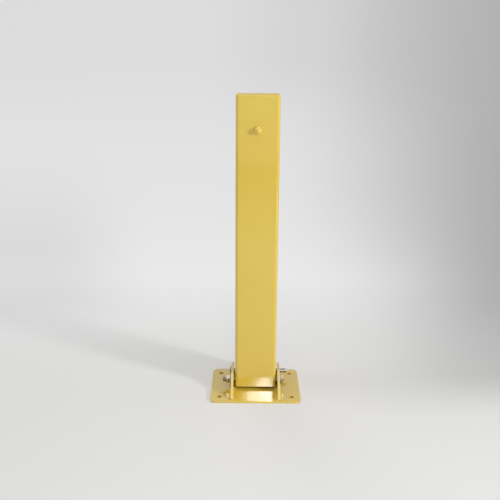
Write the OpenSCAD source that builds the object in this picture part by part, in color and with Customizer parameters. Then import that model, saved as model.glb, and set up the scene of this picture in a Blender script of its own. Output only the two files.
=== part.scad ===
// Fold-down bollard: a square steel post between two ears on an anchored base plate.
// The post swings down towards -Y about a hex bolt near its front face. Behind the
// bolt, slots at the foot of the post drop over a pull-out lock pin as it is raised.
// Millimetres. The origin is the middle of the base plate's underside, +Z is up and
// the front of the post faces -Y.

/* [Post] */
// Outside width of the square tube
post_w = 127; // [100:1:160]
// Wall of the square tube
post_wall = 4.8; // [3:0.1:8]
// Outside corner radius of the square tube
post_corner_r = 9.5; // [5:0.5:14]
// Height of the whole bollard above the ground
overall_h = 908; // [500:1:1300]
// Middle of the post behind the middle of the base plate
post_back = 32; // [0:0.5:40]
// Thickness of the plate that closes the top
cap_t = 4.8; // [3:0.1:10]
// Bevel round the top of that plate
cap_bevel = 2.4; // [1:0.1:2.8]

/* [Base plate] */
// Width of the plate, left to right
plate_w = 277; // [250:1:400]
// Depth of the plate, front to back
plate_d = 225; // [215:1:340]
// Thickness of the plate
plate_t = 6.4; // [4:0.1:16]
// Radius of the plate's corners
plate_corner_r = 19; // [5:1:30]
// Distance between the anchor holes, left to right
anchor_pitch_x = 222; // [190:1:340]
// Distance between the anchor holes, front to back
anchor_pitch_y = 162; // [130:1:280]
// Diameter of an anchor hole
anchor_hole_d = 14.3; // [8:0.1:20]

/* [Ears] */
// Thickness of an ear
ear_t = 7.9; // [5:0.1:12]
// Height of an ear above the plate
ear_h = 57; // [48:0.5:90]
// Length of an ear along the plate
ear_foot_l = 212; // [180:1:215]
// Length of an ear's level top edge, between the ends of its slopes
ear_top_l = 54; // [50:0.5:90]
// Radius of an ear's two top corners
ear_corner_r = 12; // [4:0.5:20]
// Radius of an ear's two feet
ear_toe_r = 2; // [1:0.5:4]
// Gap between the post and an ear
side_gap = 4.8; // [3:0.1:9]
// Leg of the fillet welds outside the ears
outer_weld = 6; // [3:0.1:9]
// Leg of the fillet welds inside the ears
inner_weld = 3.8; // [2:0.1:4]

/* [Hinge] */
// Hinge axis behind the front face of the post
hinge_back = 17; // [16.5:0.1:30]
// Foot of the post below the hinge axis
foot_drop = 18; // [14:0.1:24]
// Least room between the swinging foot and the plate
swing_clearance = 0.9; // [0.5:0.1:5]
// Diameter of the hinge bolt
bolt_d = 15.9; // [10:0.1:18]
// Length of bolt that stands out of the nut
bolt_standout = 10; // [2:0.5:20]
// Outside diameter of the sleeve that is welded across the post
sleeve_d = 22.2; // [20:0.1:24]
// Outside diameter of the spacers between the post and the ears
spacer_d = 25.4; // [22:0.1:32]
// Running clearance between the bolt and the sleeve, on the radius
running_clearance = 0.08; // [0.03:0.01:0.1]
// Clearance of a bolt hole, on the radius
hole_clearance = 0.4; // [0.2:0.05:1]
// End play of the post between its two spacers, on each side
end_play = 0.15; // [0.05:0.05:0.5]

/* [Lock pin] */
// Diameter of the lock pin
pin_d = 12.7; // [8:0.1:14]
// Distance between the lock pin and the hinge bolt
pin_pitch = 63.5; // [50:0.5:80]
// Diameter of the pin's head
pin_head_d = 22.2; // [18:0.1:30]
// Thickness of the pin's head
pin_head_t = 5.5; // [3:0.1:10]
// Length of pin that stands out of the right ear
pin_standout = 25; // [14:0.5:40]
// Diameter of the padlock hole across the pin's end
padlock_hole_d = 7.1; // [3:0.1:8]
// Clearance of the pin in the ears and in the post's slots, on the radius
pin_clearance = 0.3; // [0.1:0.05:0.6]

/* [Rest button] */
// Diameter of the button
button_d = 21; // [14:0.5:40]
// Button below the top of the post
button_down = 98; // [60:1:200]
// Diameter of the button's screw
button_screw_d = 9.5; // [6:0.1:12]

/* [Hidden] */
$fn = 64;
arc_steps = 6;
touch = 0.01;
cut = 20;

// Levels, and the places of the two cross members
plate_top = plate_t;
hinge_y = post_back - post_w / 2 + hinge_back;
hinge_up = sqrt(hinge_back ^ 2 + foot_drop ^ 2) + swing_clearance;
hinge_z = plate_top + hinge_up;
foot_z = hinge_z - foot_drop;
tube_top_z = overall_h - cap_t;
pin_y = hinge_y + pin_pitch;

// Faces of the post and the ears
post_side = post_w / 2;
front_y = post_back - post_side;
ear_in = post_side + side_gap;
ear_out = ear_in + ear_t;

// Hex hardware, in proportion to the screw that it belongs to
function hex_flats(d) = 1.5 * d;
function hex_corners(d) = hex_flats(d) / cos(30);
function head_height(d) = 0.63 * d;
function nut_height(d) = 0.875 * d;
function washer_od(d) = 2.1 * d;
function washer_t(d) = 0.15 * d;
bolt_washer_t = washer_t(bolt_d);
bolt_reach = ear_out + bolt_washer_t;
bolt_end = bolt_reach + nut_height(bolt_d) + bolt_standout;

// The button is as high as the post's face lies above the ground when it is down
button_h = plate_top + hinge_up - hinge_back;
button_z = overall_h - button_down;
button_rim = 0.3 * button_h;

// A cylinder along X from x = from to x = to
module along_x(from, to, r) {
    translate([from, 0, 0]) rotate([0, 90, 0]) cylinder(h = to - from, r = r);
}

// A cylinder along Y from y = from to y = to
module along_y(from, to, r) {
    translate([0, to, 0]) rotate([90, 0, 0]) cylinder(h = to - from, r = r);
}

// An upright bar with four round corners and a bevel of leg c round its top
module bevelled_bar(w, d, h, r, c) {
    function side(l) = [[-l / 2, 0], [l / 2, 0], [l / 2, h - c], [l / 2 - c, h],
        [c - l / 2, h], [-l / 2, h - c]];
    plate_x(r - w / 2, w / 2 - r) polygon(side(d));
    rotate([0, 0, 90]) plate_x(r - d / 2, d / 2 - r) polygon(side(w));
    for (x = [-1, 1], y = [-1, 1])
        translate([x * (w / 2 - r), y * (d / 2 - r), 0]) rotate_extrude()
            polygon([[0, 0], [r, 0], [r, h - c], [r - c, h], [0, h]]);
}

// A Y-Z outline made a plate between two X planes
module plate_x(from, to) {
    translate([from, 0, 0]) rotate([90, 0, 90]) linear_extrude(to - from) children();
}

// An upright bar with four round corners, centred on the Z axis
module round_bar(w, d, h, r) {
    translate([-w / 2 + r, -d / 2, 0]) cube([w - 2 * r, d, h]);
    translate([-w / 2, -d / 2 + r, 0]) cube([w, d - 2 * r, h]);
    for (x = [-1, 1], y = [-1, 1])
        translate([x * (w / 2 - r), y * (d / 2 - r), 0]) cylinder(h = h, r = r);
}

// The points of a corner of an outline that is rounded to radius r
function unit(v) = v / norm(v);
function corner(a, b, c, r) =
    let (to_a = unit(a - b), to_c = unit(c - b), half = acos(to_a * to_c) / 2,
         middle = b + unit(to_a + to_c) * r / sin(half),
         start = b + to_a * r / tan(half) - middle,
         way = cross(to_a, to_c) > 0 ? -1 : 1, turn = way * (180 - 2 * half))
    [for (i = [0 : arc_steps]) let (t = turn * i / arc_steps)
        middle + [start.x * cos(t) - start.y * sin(t),
                  start.x * sin(t) + start.y * cos(t)]];

// An outline whose corners are rounded, each to its own radius, or sharp at 0
module rounded_outline(p, r) {
    n = len(p);
    polygon([for (i = [0 : n - 1])
        each r[i] == 0 ? [p[i]] : corner(p[(i + n - 1) % n], p[i], p[(i + 1) % n], r[i])]);
}

// The section of a fillet weld in the corner at the origin, with a hollow face
module fillet_section(leg) {
    sag = 0.12 * leg;
    polygon([[0, 0], [leg, 0], [0.55 * leg - sag, 0.55 * leg - sag], [0, leg]]);
}

// A hexagonal prism along Z whose far face is chamfered
module hex_block(d, h) {
    r = hex_corners(d) / 2;
    intersection() {
        cylinder(h = h, r = r, $fn = 6);
        rotate_extrude() polygon([[0, 0], [r + touch, 0], [r + touch, 0.86 * h],
            [hex_flats(d) / 2 * 0.97, h], [0, h]]);
    }
}

// A ring of thickness t round a screw of diameter d
module ring(outer_d, d, t) {
    difference() {
        cylinder(h = t, r = outer_d / 2);
        translate([0, 0, -cut]) cylinder(h = t + 2 * cut, r = d / 2 + hole_clearance);
    }
}

module washer(d, t) {
    ring(washer_od(d), d, t);
}

// Base

module base_plate() {
    color("gold") difference() {
        round_bar(plate_w, plate_d, plate_t, plate_corner_r);
        for (x = [-1, 1], y = [-1, 1])
            translate([x * anchor_pitch_x / 2, y * anchor_pitch_y / 2, -cut])
                cylinder(h = plate_t + 2 * cut, r = anchor_hole_d / 2);
    }
}

// The level top of an ear is centred over the two cross members
module ear_outline() {
    foot = ear_foot_l / 2;
    top = ear_top_l / 2;
    top_y = (hinge_y + pin_y) / 2;
    toe_z = plate_top + 2 * ear_toe_r;
    rounded_outline(
        [[-foot, plate_top], [foot, plate_top], [foot, toe_z],
         [top_y + top, plate_top + ear_h], [top_y - top, plate_top + ear_h],
         [-foot, toe_z]],
        [0, 0, ear_toe_r, ear_corner_r, ear_corner_r, ear_toe_r]);
}

module ear(side) {
    from = side > 0 ? ear_in : -ear_out;
    color("goldenrod") difference() {
        plate_x(from, from + ear_t) ear_outline();
        translate([0, hinge_y, hinge_z])
            along_x(from - cut, from + ear_t + cut, bolt_d / 2 + hole_clearance);
        translate([0, pin_y, hinge_z])
            along_x(from - cut, from + ear_t + cut, pin_d / 2 + pin_clearance);
    }
}

module ear_welds(side) {
    // The beads stop short of the ear's toes
    length = ear_foot_l - 2 * outer_weld;
    color("orange") {
        translate([side * ear_out, length / 2, plate_top]) scale([side, 1, 1])
            rotate([90, 0, 0]) linear_extrude(length) fillet_section(outer_weld);
        translate([side * ear_in, length / 2, plate_top]) scale([-side, 1, 1])
            rotate([90, 0, 0]) linear_extrude(length) fillet_section(inner_weld);
    }
}

// Hinge

module hinge_bolt() {
    tip = 1.2;
    color("silver") translate([0, hinge_y, hinge_z]) {
        translate([bolt_reach, 0, 0]) rotate([0, 90, 0])
            hex_block(bolt_d, head_height(bolt_d));
        rotate([0, -90, 0]) rotate_extrude() polygon([[0, -bolt_reach - touch],
            [bolt_d / 2, -bolt_reach - touch], [bolt_d / 2, bolt_end - tip],
            [bolt_d / 2 - tip, bolt_end], [0, bolt_end]]);
    }
}

module hinge_nut() {
    h = nut_height(bolt_d);
    color("silver") translate([-bolt_reach, hinge_y, hinge_z]) rotate([0, -90, 0])
        difference() {
            hex_block(bolt_d, h);
            translate([0, 0, -cut]) cylinder(h = h + 2 * cut, r = bolt_d / 2 + touch);
        }
}

module hinge_washer(side) {
    color("lightgrey") translate([side * ear_out, hinge_y, hinge_z])
        rotate([0, side * 90, 0]) washer(bolt_d, bolt_washer_t);
}

module hinge_spacer(side) {
    color("dimgrey") translate([side * ear_in, hinge_y, hinge_z])
        rotate([0, -side * 90, 0]) ring(spacer_d, bolt_d, side_gap - end_play);
}

// The pin is round, with a bevelled head on the left and a cross hole on the right
module lock_pin() {
    end = ear_out + pin_standout;
    bevel = 1.5;
    r = pin_d / 2;
    head_r = pin_head_d / 2;
    color("silver") translate([0, pin_y, hinge_z]) difference() {
        rotate([0, 90, 0]) rotate_extrude() polygon([
            [0, -ear_out - pin_head_t], [head_r - bevel, -ear_out - pin_head_t],
            [head_r, -ear_out - pin_head_t + bevel], [head_r, -ear_out],
            [r, -ear_out], [r, end - 2 * bevel], [r - bevel, end], [0, end]]);
        translate([end - pin_standout / 2, 0, -cut])
            cylinder(h = 2 * cut, r = padlock_hole_d / 2);
    }
}

// Post

// The path of the lock pin through a side wall as the post swings, round the hinge
module pin_slot(from, to) {
    r = pin_d / 2 + pin_clearance;
    translate([0, pin_y, hinge_z]) along_x(from, to, r);
    translate([0, hinge_y, hinge_z]) intersection() {
        difference() {
            along_x(from, to, pin_pitch + r);
            along_x(from - cut, to + cut, pin_pitch - r);
        }
        translate([from, 0, -2 * foot_drop]) cube([to - from, post_w, 2 * foot_drop]);
    }
}

module post_tube() {
    inside = post_w - 2 * post_wall;
    length = tube_top_z - foot_z;
    color("yellow") difference() {
        translate([0, post_back, foot_z]) difference() {
            round_bar(post_w, post_w, length, post_corner_r);
            translate([0, 0, -cut])
                round_bar(inside, inside, length + 2 * cut, post_corner_r - post_wall);
        }
        translate([0, hinge_y, hinge_z])
            along_x(-post_w, post_w, sleeve_d / 2 + touch);
        for (side = [-1, 1])
            pin_slot(side * post_side - cut, side * post_side + cut);
        translate([0, front_y, button_z])
            along_y(-cut, post_wall + cut, button_screw_d / 2 + hole_clearance);
    }
}

module hinge_sleeve() {
    color("grey") translate([0, hinge_y, hinge_z]) difference() {
        along_x(-post_side, post_side, sleeve_d / 2);
        along_x(-post_w, post_w, bolt_d / 2 + running_clearance);
    }
}

module top_cap() {
    color("khaki") translate([0, post_back, tube_top_z])
        bevelled_bar(post_w, post_w, cap_t, post_corner_r, cap_bevel);
}

// A domed button that carries the lowered post, with its screw in one piece
module rest_button() {
    reach = post_wall + washer_t(button_screw_d) + nut_height(button_screw_d) + 2;
    r = button_d / 2;
    color("gold") translate([0, front_y, button_z]) rotate([90, 0, 0])
        rotate_extrude() polygon(concat(
            [[0, -reach], [button_screw_d / 2, -reach], [button_screw_d / 2, 0], [r, 0]],
            [for (i = [0 : 2 * arc_steps - 1]) let (t = 45 * i / arc_steps)
                [r * cos(t), button_rim + (button_h - button_rim) * sin(t)]],
            [[0, button_h]]));
}

module rest_button_washer() {
    color("lightgrey") translate([0, front_y + post_wall, button_z])
        rotate([-90, 0, 0]) washer(button_screw_d, washer_t(button_screw_d));
}

module rest_button_nut() {
    h = nut_height(button_screw_d);
    color("silver")
        translate([0, front_y + post_wall + washer_t(button_screw_d), button_z])
        rotate([-90, 0, 0]) difference() {
            hex_block(button_screw_d, h);
            translate([0, 0, -cut])
                cylinder(h = h + 2 * cut, r = button_screw_d / 2 + touch);
        }
}

base_plate();
ear(-1);  // left_ear
ear(1);  // right_ear
ear_welds(-1);  // left_ear_welds
ear_welds(1);  // right_ear_welds
hinge_bolt();
hinge_nut();
hinge_washer(-1);  // hinge_washer_left
hinge_washer(1);  // hinge_washer_right
hinge_spacer(-1);  // hinge_spacer_left
hinge_spacer(1);  // hinge_spacer_right
lock_pin();
post_tube();
hinge_sleeve();
top_cap();
rest_button();
rest_button_washer();
rest_button_nut();
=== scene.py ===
"""Looks of the fold-down bollard: paint, plating, threads, weld ripple, light and camera."""
import math

import bmesh
import bpy
from mathutils import Matrix, Vector


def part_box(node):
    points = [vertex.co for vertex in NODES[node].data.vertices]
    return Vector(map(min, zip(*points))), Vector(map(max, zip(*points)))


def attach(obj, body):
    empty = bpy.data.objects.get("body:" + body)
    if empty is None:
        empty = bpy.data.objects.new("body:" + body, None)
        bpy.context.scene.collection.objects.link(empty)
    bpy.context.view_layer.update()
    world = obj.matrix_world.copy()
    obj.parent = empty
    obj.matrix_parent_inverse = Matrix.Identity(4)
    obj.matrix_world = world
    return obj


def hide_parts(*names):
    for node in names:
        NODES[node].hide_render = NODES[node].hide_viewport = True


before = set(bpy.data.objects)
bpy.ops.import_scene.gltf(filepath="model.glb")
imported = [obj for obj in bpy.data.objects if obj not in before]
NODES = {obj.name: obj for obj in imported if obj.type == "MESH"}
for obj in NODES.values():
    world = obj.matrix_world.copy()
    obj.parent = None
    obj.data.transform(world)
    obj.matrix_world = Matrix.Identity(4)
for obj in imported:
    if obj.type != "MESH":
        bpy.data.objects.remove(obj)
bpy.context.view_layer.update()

# Camera, as fitted to the photograph's edges and anchor holes, in metres and degrees
CAMERA_PLACE = (-0.0199, -1.9665, 0.9982)
CAMERA_PITCH = 15.556
CAMERA_ROLL = 0.432
FOCAL_PIXELS = 677.9
IMAGE_PIXELS = 500
SENSOR_MM = 36

# Hinge bolt and nut, in metres
BOLT_D = 0.0159
BOLT_FLATS = 1.5 * BOLT_D
BOLT_PITCH = 0.00231
BOLT_UNDERSIZE = 0.00004
NUT_OVERSIZE = 0.00003
WASHER_FACE = 0.0004
THREAD_INSIDE_NUT = 0.004
COUNTERSINK_LENGTH = 0.002
COUNTERSINK_LIP = 0.0005
PASS_BY = 0.001

# Shares of the width across flats, and of the thread's pitch
CHAMFER_START = 0.965
WASHER_FACE_SHARE = 0.94
THREAD_DEPTH = 0.54
THREAD_RUN_IN = 1.5

# Widths of broken edges, in metres
PLATE_EDGE = 0.0009
TUBE_EDGE = 0.0006
RING_EDGE = 0.0005
FINE_EDGE = 0.0004
BOLT_HEAD_EDGE = 0.00035
NUT_EDGE = 0.0003
SLEEVE_EDGE = 0.0003
SMALL_EDGE = 0.0002

# Weld beads, in metres, with a ripple's squash as a share and its lean in degrees
RIPPLE_PITCH = 0.0031
RIPPLE_SQUASH = 0.62
RIPPLE_LEAN = 14
BEAD_VOXEL = 0.00055
BEAD_DRIFT = 0.011
OUTER_WOBBLE = 0.0009
INNER_WOBBLE = 0.0005

# Relief, rubbed edges and dust of the finishes, in metres
PEEL_DEPTH = 0.00003
WAVE_DEPTH = 0.0001
SCUFF_DEPTH = 0.00006
RING_DEPTH = 0.00003
RUBBED_EDGE = 0.0009
HANDLED_EDGE = 0.0005
DUST_HEIGHTS = (0.006, 0.075)

# Clear gloss of the paint
COAT_IOR = 1.5
COAT_ROUGHNESS = 0.035

# Studio, in metres, and the roughness of its paper
SWEEP_CENTRE_Y = -1.0
SWEEP_HALF_SIZE = (5, 4, 1)
SWEEP_RADIUS = 1.6
WALL_HEIGHT = 5
PAPER_ROUGHNESS = 0.6
# Inset and fade of the painted shade on the paper under the plate, which shows through its anchor holes
UNDER_INSET = 0.002
UNDER_FADE = 0.004

# Where the paper's painted shade comes in or goes out, along Y, up Z, or across the fan, which is X over
# the distance from a point in front
FAN_POINT_Y = -1.9
RIGHT_ACROSS = (0, 0.42)
RIGHT_BACK = (-0.2, 0.12)
RIGHT_SPREADS_BACK = (0.5, 2.4)
LEFT_ACROSS = (0.14, 0.33)
LEFT_IN_BACK = (0.35, 0.8)
LEFT_OUT_BACK = (1.5, 2.7)
HIGH_UP = (0.3, 1.1)
HIGH_IN_ACROSS = (-0.09, 0.1)
HIGH_OUT_ACROSS = (0.15, 0.37)

# Depth of each painted shade, where the right-hand one is whole; the left one is the painted end of the
# post's shadow
LEFT_SHADE = 0.26
HIGH_SHADE = 0.13
HIGH_RIGHT_SHADE = 0.2

# Shares of the paper's look that are shown and not lit, and where the paper changes along Y
SHOWN_NEAR = 0.27
SHOWN_FAR = 0.95
SHOWN_GROWS_BACK = (0.1, 1.15)
FLOOR_DARKENS_BACK = (0.6, 1.6)
PAPER_PALES_BACK = (-0.2, 0.5)
PAPER_FADES_BACK = (1.2, 2.6)

# Lamps beside the camera, in metres, and the light of the room
BESIDE_X = 0.088
BESIDE_Y = -1.98
ROOM_STRENGTH = 0.26

# Colours are linear
PAINT = (0.72, 0.515, 0.060, 1)
PAINT_DEEP = (0.67, 0.46, 0.048, 1)
PAINT_PALE = (0.75, 0.555, 0.085, 1)
PRIMER = (0.16, 0.15, 0.14, 1)
DUST = (0.40, 0.36, 0.26, 1)
ZINC = (0.37, 0.33, 0.285, 1)
ZINC_WARM = (0.36, 0.285, 0.20, 1)
ZINC_DARK = (0.14, 0.12, 0.11, 1)
ZINC_PIN = (0.31, 0.28, 0.28, 1)
ZINC_PIN_WORN = (0.25, 0.22, 0.21, 1)
STEEL_DARK = (0.13, 0.12, 0.115, 1)
FLOOR = (0.86, 0.86, 0.855, 1)
FLOOR_FAR = (0.42, 0.42, 0.42, 1)
FLOOR_SHADE = (0.66, 0.66, 0.66, 1)
# Painted shade on the paper under the plate
UNDER_PLATE_SHADE = (0.05, 0.045, 0.03, 1)
ROOM = (0.80, 0.80, 0.80, 1)
ROOM_SEEN = (0.70, 0.70, 0.70, 1)
PAPER_NEAR = (0.70, 0.70, 0.70, 1)
PAPER_BEHIND = (0.835, 0.835, 0.835, 1)
PAPER_FAR = (0.79, 0.79, 0.80, 1)
PAPER_SHADE = (0.43, 0.43, 0.44, 1)

# Turns that lay a primitive's axis along X, the second with a corner of its outline at the top
ALONG_X = (0, math.radians(90), 0)
CORNER_UP = (Matrix.Rotation(math.radians(90), 3, "X") @ Matrix.Rotation(math.radians(90), 3, "Y")).to_euler()


class Value:
    """A shader socket that can be used in sums, so that maths reads as Python."""

    def __init__(self, graph, socket):
        self.graph = graph
        self.socket = socket

    def _with(self, operation, *others):
        values = [o.socket if isinstance(o, Value) else o for o in others]
        return self.graph.node("ShaderNodeMath", {"operation": operation}, dict(enumerate(values)))

    def __add__(self, other):
        return self._with("ADD", self, other)

    def __radd__(self, other):
        return self._with("ADD", other, self)

    def __sub__(self, other):
        return self._with("SUBTRACT", self, other)

    def __rsub__(self, other):
        return self._with("SUBTRACT", other, self)

    def __mul__(self, other):
        return self._with("MULTIPLY", self, other)

    def __rmul__(self, other):
        return self._with("MULTIPLY", other, self)

    def __truediv__(self, other):
        return self._with("DIVIDE", self, other)

    def __rtruediv__(self, other):
        return self._with("DIVIDE", other, self)

    def __pow__(self, other):
        return self._with("POWER", self, other)

    def __rpow__(self, other):
        return self._with("POWER", other, self)

    def sine(self):
        return self._with("SINE", self)

    def least(self, other):
        return self._with("MINIMUM", self, other)

    def most(self, other):
        return self._with("MAXIMUM", self, other)

    def size(self):
        return self._with("ABSOLUTE", self)


class Graph:
    """A node tree and the ways to add to it."""

    def __init__(self, tree):
        self.tree = tree

    def node(self, kind, settings=None, inputs=None, output=0):
        made = self.tree.nodes.new(kind)
        for name, value in (settings or {}).items():
            setattr(made, name, value)
        for name, value in (inputs or {}).items():
            self.plug(made.inputs[name], value)
        return Value(self, made.outputs[output])

    def plug(self, socket, value):
        value = value.socket if isinstance(value, Value) else value
        if isinstance(value, bpy.types.NodeSocket):
            self.tree.links.new(value, socket)
        else:
            socket.default_value = value

    def place(self):
        return self.node("ShaderNodeTexCoord", output=3)

    def axis(self, which):
        return self.node("ShaderNodeSeparateXYZ", inputs={0: self.place()}, output="XYZ".index(which))

    def noise(self, scale, detail=3, roughness=0.5, stretch=(1, 1, 1)):
        place = self.node("ShaderNodeMapping", inputs={"Vector": self.place(), "Scale": stretch})
        return self.node("ShaderNodeTexNoise",
                         inputs={"Vector": place, "Scale": scale, "Detail": detail, "Roughness": roughness})

    def step(self, value, low, high):
        return self.node("ShaderNodeMapRange", {"interpolation_type": "SMOOTHSTEP"},
                         {"Value": value, "From Min": low, "From Max": high})

    def mix(self, amount, first, second):
        return self.node("ShaderNodeMix", {"data_type": "RGBA"},
                         {"Factor": amount, "A": first, "B": second}, output="Result")

    def edge(self, radius):
        """One on sharp edges, nought on flats."""
        bevelled = self.node("ShaderNodeBevel", {"samples": 6}, {"Radius": radius})
        true = self.node("ShaderNodeNewGeometry", output=1)
        alike = self.node("ShaderNodeVectorMath", {"operation": "DOT_PRODUCT"},
                          {0: bevelled, 1: true}, output="Value")
        return self.step(1 - alike, 0.01, 0.12)

    def bump(self, height, distance, strength=1.0, under=None):
        inputs = {"Height": height, "Distance": distance, "Strength": strength}
        if under is not None:
            inputs["Normal"] = under
        return self.node("ShaderNodeBump", inputs=inputs)

    def seen(self):
        """One for the camera, reflections and clear things, nought for light that falls on something."""
        rays = self.node("ShaderNodeLightPath", output="Is Camera Ray")
        for kind in ("Is Glossy Ray", "Is Transmission Ray"):
            rays = rays.most(self.node("ShaderNodeLightPath", output=kind))
        return rays


class Finish(Graph):
    """A material and the nodes that make it."""

    def __init__(self, name):
        self.material = bpy.data.materials.new(name)
        self.material.use_nodes = True
        super().__init__(self.material.node_tree)
        self.shader = self.tree.nodes["Principled BSDF"]

    def set(self, **inputs):
        for name, value in inputs.items():
            self.plug(self.shader.inputs[name.replace("_", " ")], value)


def paint(name, dull, shine):
    """Powder coat, glossy or satin: orange peel, slow waves, thin rubbed edges and settled dust."""
    finish = Finish(name)
    clouds = finish.noise(scale=4, detail=3)
    grime = finish.noise(scale=38, detail=6, roughness=0.62)
    colour = finish.mix(finish.step(clouds, 0.40, 0.75) * 0.6, PAINT, PAINT_PALE)
    colour = finish.mix(finish.step(clouds, 0.42, 0.25) * 0.4, colour, PAINT_DEEP)
    worn = finish.edge(RUBBED_EDGE) * finish.step(grime, 0.62, 0.74)
    colour = finish.mix(worn * 0.45, colour, PRIMER)
    low = 1 - finish.step(finish.axis("Z"), *DUST_HEIGHTS)
    dust = low * finish.step(grime, 0.45, 0.72) * 0.04
    colour = finish.mix(dust, colour, DUST)
    peel = finish.bump(finish.noise(scale=420, detail=1, roughness=0.4), PEEL_DEPTH)
    swell = finish.noise(scale=40, detail=1, stretch=(1, 0.3, 0.5))
    waves = finish.bump(swell, WAVE_DEPTH, under=peel)
    finish.set(Base_Color=colour, Roughness=dull + worn * 0.35 + dust * 1.2, Normal=waves)
    finish.set(IOR=COAT_IOR, Coat_Weight=shine, Coat_Roughness=COAT_ROUGHNESS, Coat_IOR=COAT_IOR)
    return finish.material


def zinc(name, tint, second):
    """Zinc plate in patches of two tones, with dark specks, fine scuffs and smoother edges."""
    finish = Finish(name)
    patch = finish.noise(scale=120, detail=4)
    tone = finish.mix(finish.step(patch, 0.35, 0.65), tint, second)
    fine = finish.noise(scale=900, detail=3, roughness=0.6)
    tone = finish.mix(finish.step(fine, 0.55, 0.75) * 0.5, tone, ZINC_DARK)
    scuff = finish.noise(scale=260, detail=2, stretch=(0.15, 1, 1))
    finish.set(Base_Color=tone, Metallic=1.0,
               Roughness=0.24 + finish.step(patch, 0.4, 0.7) * 0.12 + finish.edge(HANDLED_EDGE) * -0.06,
               Normal=finish.bump(scuff, SCUFF_DEPTH, 0.5))
    return finish.material


def bare_steel():
    """Turned steel inside the post, dulled by grease."""
    finish = Finish("greased_steel")
    rings = (finish.axis("X") * 9000).sine()
    film = finish.noise(scale=70, detail=4)
    finish.set(Base_Color=finish.mix(finish.step(film, 0.4, 0.7), STEEL_DARK, ZINC_DARK), Metallic=1.0,
               Roughness=0.38 + finish.step(film, 0.3, 0.7) * 0.2, Normal=finish.bump(rings, RING_DEPTH, 0.5))
    return finish.material


def deselect():
    bpy.ops.object.select_all(action="DESELECT")


def pick(piece):
    deselect()
    piece.select_set(True)
    bpy.context.view_layer.objects.active = piece


def modify(piece, kind, **settings):
    """Adds one modifier and applies it."""
    pick(piece)
    modifier = piece.modifiers.new(kind.lower(), kind)
    for name, value in settings.items():
        setattr(modifier, name, value)
    bpy.ops.object.modifier_apply(modifier=modifier.name)


def combine(piece, tool, operation):
    modify(piece, "BOOLEAN", operation=operation, object=tool, solver="EXACT")
    bpy.data.objects.remove(tool)


def fresh(name):
    """Takes the primitive that was just added, fixes its place in its mesh and names it."""
    piece = bpy.context.view_layer.objects.active
    pick(piece)
    bpy.ops.object.transform_apply(location=True, rotation=True, scale=True)
    piece.name = name
    piece.data.name = name
    return piece


def disc(name, x, centre, radius, length, corners=96):
    """A cylinder along X from x to x + length, with a corner at the top."""
    deselect()
    bpy.ops.mesh.primitive_cylinder_add(vertices=corners, radius=radius, depth=abs(length),
                                        location=(x + length / 2, centre.y, centre.z), rotation=CORNER_UP)
    return fresh(name)


def frustum(name, x, centre, near, far, length):
    """A cone along X, with radius near at x and radius far at x + length."""
    deselect()
    ends = (near, far) if length > 0 else (far, near)
    bpy.ops.mesh.primitive_cone_add(vertices=96, radius1=ends[0], radius2=ends[1], depth=abs(length),
                                    location=(x + length / 2, centre.y, centre.z), rotation=ALONG_X)
    return fresh(name)


def evened(piece, angle=35):
    """Smooth shading that leaves flat faces flat."""
    pick(piece)
    bpy.ops.object.shade_smooth_by_angle(angle=math.radians(angle))
    modify(piece, "WEIGHTED_NORMAL", keep_sharp=True)
    return piece


def rounded(piece, width, segments=3, angle=32):
    modify(piece, "BEVEL", width=width, segments=segments, limit_method="ANGLE",
           angle_limit=math.radians(angle), use_clamp_overlap=True)
    return evened(piece)


def merged_copy(node):
    """A copy of a CAD node's mesh as one closed skin with whole flat faces."""
    piece = bpy.data.objects.new(node + "_finished", NODES[node].data.copy())
    bpy.context.scene.collection.objects.link(piece)
    pick(piece)
    piece.data.materials.clear()
    bpy.ops.object.mode_set(mode="EDIT")
    bpy.ops.mesh.select_all(action="SELECT")
    bpy.ops.mesh.customdata_custom_splitnormals_clear()
    bpy.ops.mesh.remove_doubles(threshold=0.000002)
    bpy.ops.mesh.dissolve_limited(angle_limit=math.radians(0.5))
    bpy.ops.object.mode_set(mode="OBJECT")
    return piece


def dress(piece, material, body, node):
    """Gives a piece its material and its body, and hides the CAD node that it stands for."""
    piece.data.materials.clear()
    piece.data.materials.append(material)
    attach(piece, body)
    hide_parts(node)


def hex_block(name, x, centre, flats, length, washer_face=0.0, both_ends=False):
    """A hexagonal block along X from x, chamfered at its far end or at both."""
    across = flats / math.cos(math.radians(30)) / 2
    block = disc(name, x + math.copysign(washer_face, length), centre, across,
                 length - math.copysign(washer_face, length), corners=6)
    slope = math.tan(math.radians(60))
    face = flats / 2 * CHAMFER_START
    wide = face + slope * abs(length)
    combine(block, frustum("far_chamfer", x, centre, wide, face, length), "INTERSECT")
    if both_ends:
        combine(block, frustum("near_chamfer", x, centre, face, wide, length), "INTERSECT")
    if washer_face:
        combine(block, disc("washer_face", x, centre, flats / 2 * WASHER_FACE_SHARE, length * 0.5), "UNION")
    return block


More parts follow.
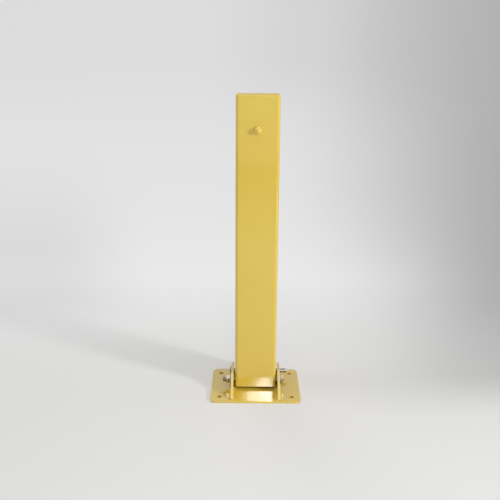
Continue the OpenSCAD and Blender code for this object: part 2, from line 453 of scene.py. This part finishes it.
def thread(name, x, centre, radius, pitch, length):
    """A rod along X from x whose helical thread is cut to depth, its far end bevelled."""
    depth = THREAD_DEPTH * pitch
    run_in = THREAD_RUN_IN * pitch
    root = radius - depth
    # Radius and share of the pitch at each corner of the thread's outline
    profile = ((root, 0.12), (radius, 0.42), (radius, 0.58), (root, 0.88), (root, 1.0))
    deselect()
    bpy.ops.mesh.primitive_plane_add(size=0.001, location=(0, 0, 0))
    rod = bpy.context.view_layer.objects.active
    bpy.ops.object.mode_set(mode="EDIT")
    bpy.ops.mesh.select_all(action="SELECT")
    bpy.ops.mesh.merge(type="CENTER")
    here = Vector((root, 0, 0))
    bpy.ops.transform.translate(value=here)
    for r, share in profile:
        there = Vector((r, 0, share * pitch))
        bpy.ops.mesh.extrude_vertices_move(TRANSFORM_OT_translate={"value": there - here})
        here = there
    bpy.ops.object.mode_set(mode="OBJECT")
    turns = math.ceil(abs(length) / pitch) + 3
    modify(rod, "SCREW", axis="Z", angle=math.radians(360), screw_offset=pitch, iterations=turns,
           steps=48, render_steps=48, use_merge_vertices=True, merge_threshold=0.00001)
    pick(rod)
    bpy.ops.object.mode_set(mode="EDIT")
    bpy.ops.mesh.select_all(action="SELECT")
    bpy.ops.mesh.remove_doubles(threshold=0.00001)
    for height, low in ((run_in, True), (run_in + abs(length), False)):
        bpy.ops.mesh.select_all(action="SELECT")
        bpy.ops.mesh.bisect(plane_co=(0, 0, height), plane_no=(0, 0, 1), use_fill=True,
                            clear_inner=low, clear_outer=not low)
    bpy.ops.mesh.select_all(action="SELECT")
    bpy.ops.mesh.normals_make_consistent(inside=False)
    bpy.ops.object.mode_set(mode="OBJECT")
    rod.location = (x + math.copysign(-run_in, length), centre.y, centre.z)
    rod.rotation_euler = (0, math.copysign(math.radians(90), length), 0)
    rod = fresh(name)
    tip = 1.3 * depth
    combine(rod, frustum("bevel", x, centre, radius - tip + abs(length), radius - tip, length), "INTERSECT")
    return rod


def hinge_bolt(zinc_plate):
    """Hex head with a washer face on the right, shank, and a cut thread that stands out of the nut."""
    low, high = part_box("hinge_bolt")
    nut_low, nut_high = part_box("hinge_nut")
    centre = (nut_low + nut_high) / 2
    centre.x = 0
    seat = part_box("hinge_washer_right")[1].x
    bolt = hex_block("hinge_bolt_turned", seat, centre, BOLT_FLATS, high.x - seat, washer_face=WASHER_FACE)
    modify(bolt, "BEVEL", width=BOLT_HEAD_EDGE, segments=2, limit_method="ANGLE",
           angle_limit=math.radians(25))
    radius = BOLT_D / 2 - BOLT_UNDERSIZE
    thread_start = nut_high.x - THREAD_INSIDE_NUT
    combine(bolt, disc("shank", thread_start, centre, radius, seat + PASS_BY - thread_start), "UNION")
    combine(bolt, thread("bolt_thread", thread_start + PASS_BY, centre, radius, BOLT_PITCH,
                         low.x - thread_start - PASS_BY), "UNION")
    evened(bolt)
    dress(bolt, zinc_plate, "base", "hinge_bolt")


def hinge_nut(zinc_plate):
    """Double-chamfered nut, countersunk round the bolt."""
    low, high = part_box("hinge_nut")
    centre = (low + high) / 2
    nut = hex_block("hinge_nut_turned", high.x, centre, BOLT_FLATS, low.x - high.x, both_ends=True)
    modify(nut, "BEVEL", width=NUT_EDGE, segments=2, limit_method="ANGLE", angle_limit=math.radians(25))
    bore = BOLT_D / 2 + NUT_OVERSIZE
    combine(nut, disc("bore", high.x + PASS_BY, centre, bore, low.x - high.x - 2 * PASS_BY), "DIFFERENCE")
    inner = bore - COUNTERSINK_LIP
    for mouth, inward in ((low.x, 1), (high.x, -1)):
        combine(nut, frustum("countersink", mouth - inward * COUNTERSINK_LIP, centre,
                             inner + COUNTERSINK_LENGTH, inner, inward * COUNTERSINK_LENGTH), "DIFFERENCE")
    evened(nut)
    dress(nut, zinc_plate, "base", "hinge_nut")


def finished(node, body, material, width, segments=3):
    """A CAD part's own form with its edges broken."""
    dress(rounded(merged_copy(node), width, segments), material, body, node)


def weld_bead(name, corner, side, leg, length, wobble):
    """A hand-laid fillet bead along Y: overlapping ripples melted into one skin, cut off at both plates."""
    reach = 1.2 * leg
    inset = 0.25 * leg
    deselect()
    bpy.ops.mesh.primitive_uv_sphere_add(segments=28, ring_count=16, radius=reach,
                                         location=(corner.x - side * inset,
                                                   corner.y - length / 2 + RIPPLE_PITCH,
                                                   corner.z - inset))
    bead = bpy.context.view_layer.objects.active
    bead.scale = (1, RIPPLE_SQUASH, 1)
    bead.rotation_euler = (math.radians(RIPPLE_LEAN), 0, 0)
    bead = fresh(name)
    ripples = int((length - 2 * RIPPLE_PITCH) / RIPPLE_PITCH)
    modify(bead, "ARRAY", count=ripples, use_relative_offset=False, use_constant_offset=True,
           constant_offset_displace=(0, RIPPLE_PITCH, 0))
    modify(bead, "REMESH", mode="VOXEL", voxel_size=BEAD_VOXEL)
    drift = bpy.data.textures.new(name + "_drift", "CLOUDS")
    drift.noise_scale = BEAD_DRIFT
    modify(bead, "DISPLACE", texture=drift, texture_coords="GLOBAL", strength=wobble, mid_level=0.5)
    modify(bead, "SMOOTH", factor=0.5, iterations=2)
    pick(bead)
    bpy.ops.object.mode_set(mode="EDIT")
    for place, away in (((corner.x, 0, 0), (side, 0, 0)), ((0, 0, corner.z), (0, 0, 1))):
        bpy.ops.mesh.select_all(action="SELECT")
        bpy.ops.mesh.bisect(plane_co=place, plane_no=away, use_fill=True, clear_inner=True)
    bpy.ops.object.mode_set(mode="OBJECT")
    bpy.ops.object.shade_smooth_by_angle(angle=math.radians(40))
    return bead


def ear_welds(node, ear, coat):
    """The outer and the inner bead of one ear."""
    low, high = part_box(node)
    ear_low, ear_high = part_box(ear)
    outward = 1 if ear_low.x > 0 else -1
    outer_x, inner_x = (ear_high.x, ear_low.x) if outward > 0 else (ear_low.x, ear_high.x)
    outer_leg = high.z - low.z
    inner_leg = (high.x - low.x) - outer_leg - (ear_high.x - ear_low.x)
    length = high.y - low.y
    outer = weld_bead(node + "_rippled", Vector((outer_x, 0, low.z)), outward, outer_leg, length,
                      OUTER_WOBBLE)
    inner = weld_bead("inner", Vector((inner_x, 0, low.z)), -outward, inner_leg, length, INNER_WOBBLE)
    pick(outer)
    inner.select_set(True)
    bpy.ops.object.join()
    dress(outer, coat, "base", node)


coat = paint("yellow_powder_coat", dull=0.08, shine=1.0)
satin_coat = paint("satin_powder_coat", dull=0.45, shine=0.0)
bolt_plate = zinc("zinc_plate", ZINC, ZINC_WARM)
old_plate = zinc("dulled_zinc_plate", ZINC_DARK, STEEL_DARK)
pin_plate = zinc("handled_zinc_plate", ZINC_PIN, ZINC_PIN_WORN)
steel = bare_steel()

finished("base_plate", "base", coat, PLATE_EDGE)
for ear in ("left_ear", "right_ear"):
    finished(ear, "base", coat, PLATE_EDGE)
    ear_welds(ear + "_welds", ear, satin_coat)
finished("post_tube", "post", coat, TUBE_EDGE, segments=2)
finished("top_cap", "post", satin_coat, FINE_EDGE)
finished("rest_button", "post", coat, RING_EDGE)
hinge_bolt(bolt_plate)
hinge_nut(bolt_plate)
for side in ("left", "right"):
    finished("hinge_washer_" + side, "base", pin_plate, RING_EDGE)
    finished("hinge_spacer_" + side, "base", old_plate, RING_EDGE)
finished("lock_pin", "pin", pin_plate, FINE_EDGE)
finished("hinge_sleeve", "post", steel, SLEEVE_EDGE)
finished("rest_button_washer", "post", bolt_plate, SMALL_EDGE)
finished("rest_button_nut", "post", bolt_plate, SMALL_EDGE)


def studio():
    """A paper floor that sweeps up into a backdrop behind the post."""
    deselect()
    bpy.ops.mesh.primitive_plane_add(size=2, location=(0, SWEEP_CENTRE_Y, 0))
    sweep = bpy.context.view_layer.objects.active
    sweep.scale = SWEEP_HALF_SIZE
    sweep = fresh("studio_sweep")
    bpy.ops.object.mode_set(mode="EDIT")
    mesh = bmesh.from_edit_mesh(sweep.data)
    rear = max(v.co.y for v in mesh.verts)
    for part in list(mesh.verts) + list(mesh.edges) + list(mesh.faces):
        part.select_set(False)
    for edge in mesh.edges:
        edge.select_set(all(v.co.y > rear - 0.01 for v in edge.verts))
    bmesh.update_edit_mesh(sweep.data)
    bpy.ops.mesh.extrude_region_move(TRANSFORM_OT_translate={"value": (0, 0, WALL_HEIGHT)})
    bpy.ops.object.mode_set(mode="OBJECT")
    modify(sweep, "BEVEL", width=SWEEP_RADIUS, segments=24, limit_method="ANGLE",
           angle_limit=math.radians(30))
    bpy.ops.object.shade_smooth()
    sweep.data.materials.append(studio_paper())


def studio_paper():
    """Pale paper, with painted shade to the right, high up and at the far left, and dark painted shade where
    the plate hides it.
    """
    finish = Finish("studio_paper")
    across, back, up = finish.axis("X"), finish.axis("Y"), finish.axis("Z")
    fan = across / (back - FAN_POINT_Y)
    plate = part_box("base_plate")[1]
    under = (plate.x - UNDER_INSET - across.size()).least(plate.y - UNDER_INSET - back.size())
    # Painted shade under the plate, where the paper doesn't glow either
    shade_under_plate = finish.step(under, 0, UNDER_FADE)

    right = finish.step(fan, *RIGHT_ACROSS) ** (2 - finish.step(back, *RIGHT_SPREADS_BACK))
    # The painted end of the post's shadow at the far left
    left = finish.step(back, *LEFT_IN_BACK) * (1 - finish.step(back, *LEFT_OUT_BACK))
    left = left * finish.step(0 - fan, *LEFT_ACROSS)
    # Painted shade on the paper, in its lit colour and in the look it shows
    side_shade = right * finish.step(back, *RIGHT_BACK) + left * LEFT_SHADE
    high = finish.step(up, *HIGH_UP)
    # Painted shade high up on the right
    high_right = high * (finish.step(fan, *HIGH_IN_ACROSS) - finish.step(fan, *HIGH_OUT_ACROSS))

    floor = finish.mix(side_shade, FLOOR, FLOOR_SHADE)
    floor = finish.mix(finish.step(back, *FLOOR_DARKENS_BACK), floor, FLOOR_FAR)
    finish.set(Base_Color=finish.mix(shade_under_plate, floor, UNDER_PLATE_SHADE), Roughness=PAPER_ROUGHNESS)

    shown = finish.mix(finish.step(back, *PAPER_PALES_BACK), PAPER_NEAR, PAPER_BEHIND)
    shown = finish.mix(finish.step(back, *PAPER_FADES_BACK), shown, PAPER_FAR)
    shown = finish.mix(side_shade.most(high * HIGH_SHADE) + high_right * HIGH_RIGHT_SHADE, shown, PAPER_SHADE)
    glow = finish.node("ShaderNodeEmission", inputs={"Color": shown})

    share = SHOWN_NEAR + finish.step(back, *SHOWN_GROWS_BACK) * (SHOWN_FAR - SHOWN_NEAR)
    share = finish.seen() * ((1 - shade_under_plate) * share)
    lit = finish.shader.outputs[0]
    both = finish.node("ShaderNodeMixShader", inputs={0: share, 1: lit, 2: glow})
    finish.plug(finish.tree.nodes["Material Output"].inputs["Surface"], both)
    return finish.material


def lamp(name, place, target, size, watts, colour=(1, 1, 1), tall=None):
    """A rectangular lamp at place that points at target, square where tall isn't given."""
    light = bpy.data.lights.new(name, "AREA")
    light.shape = "RECTANGLE"
    light.size = size
    light.size_y = tall or size
    light.energy = watts
    light.color = colour
    holder = bpy.data.objects.new(name, light)
    bpy.context.scene.collection.objects.link(holder)
    holder.location = place
    holder.rotation_euler = (Vector(target) - Vector(place)).to_track_quat("-Z", "Y").to_euler()


def room_light():
    """An even grey room, which looks paler in itself than the light it gives."""
    world = bpy.data.worlds.new("room")
    world.use_nodes = True
    room = Graph(world.node_tree)
    around = room.tree.nodes["Background"]
    room.plug(around.inputs["Color"], ROOM)
    room.plug(around.inputs["Strength"], ROOM_STRENGTH)
    behind = room.node("ShaderNodeBackground", inputs={"Color": ROOM_SEEN})
    both = room.node("ShaderNodeMixShader", inputs={0: room.seen(), 1: around.outputs[0], 2: behind})
    room.plug(room.tree.nodes["World Output"].inputs["Surface"], both)
    bpy.context.scene.world = world


studio()
lamp("key_right", place=(3.03, -1.75, 1.5), target=(0, 0, 0.5), size=0.5, watts=80, colour=(1.0, 0.99, 0.97))
lamp("fill_left", place=(-2.3, 0.05, 1.9), target=(0, 0, 0.3), size=1.6, watts=17)
lamp("overhead", place=(0, -0.4, 3.0), target=(0, 0, 0), size=2.0, watts=17)
lamp("behind_high", place=(-0.8, 2.3, 2.4), target=(0, 0, 0.4), size=1.2, watts=10)
for level, height, tall, watts in (("high", 1.05, 0.10, 6.5), ("low", 0.974, 0.030, 0.26),
                                   ("lowest", 0.915, 0.044, 0.36)):
    lamp("beside_camera_" + level, place=(BESIDE_X, BESIDE_Y, height), target=(BESIDE_X, 0, 0.05), size=0.10,
         watts=watts, tall=tall)
lamp("round_camera", place=(-0.003, BESIDE_Y, 1.055), target=(0, 0, 0.05), size=0.06, watts=0.5, tall=0.07)
room_light()
bpy.context.scene.view_settings.view_transform = "Standard"

camera_data = bpy.data.cameras.new("camera")
camera_data.sensor_width = SENSOR_MM
camera_data.lens = FOCAL_PIXELS / IMAGE_PIXELS * SENSOR_MM
camera = bpy.data.objects.new("camera", camera_data)
bpy.context.scene.collection.objects.link(camera)
camera.matrix_world = (Matrix.Translation(CAMERA_PLACE)
                       @ Matrix.Rotation(math.radians(90 - CAMERA_PITCH), 4, "X")
                       @ Matrix.Rotation(math.radians(CAMERA_ROLL), 4, "Z"))
bpy.context.scene.camera = camera

bpy.context.view_layer.update()
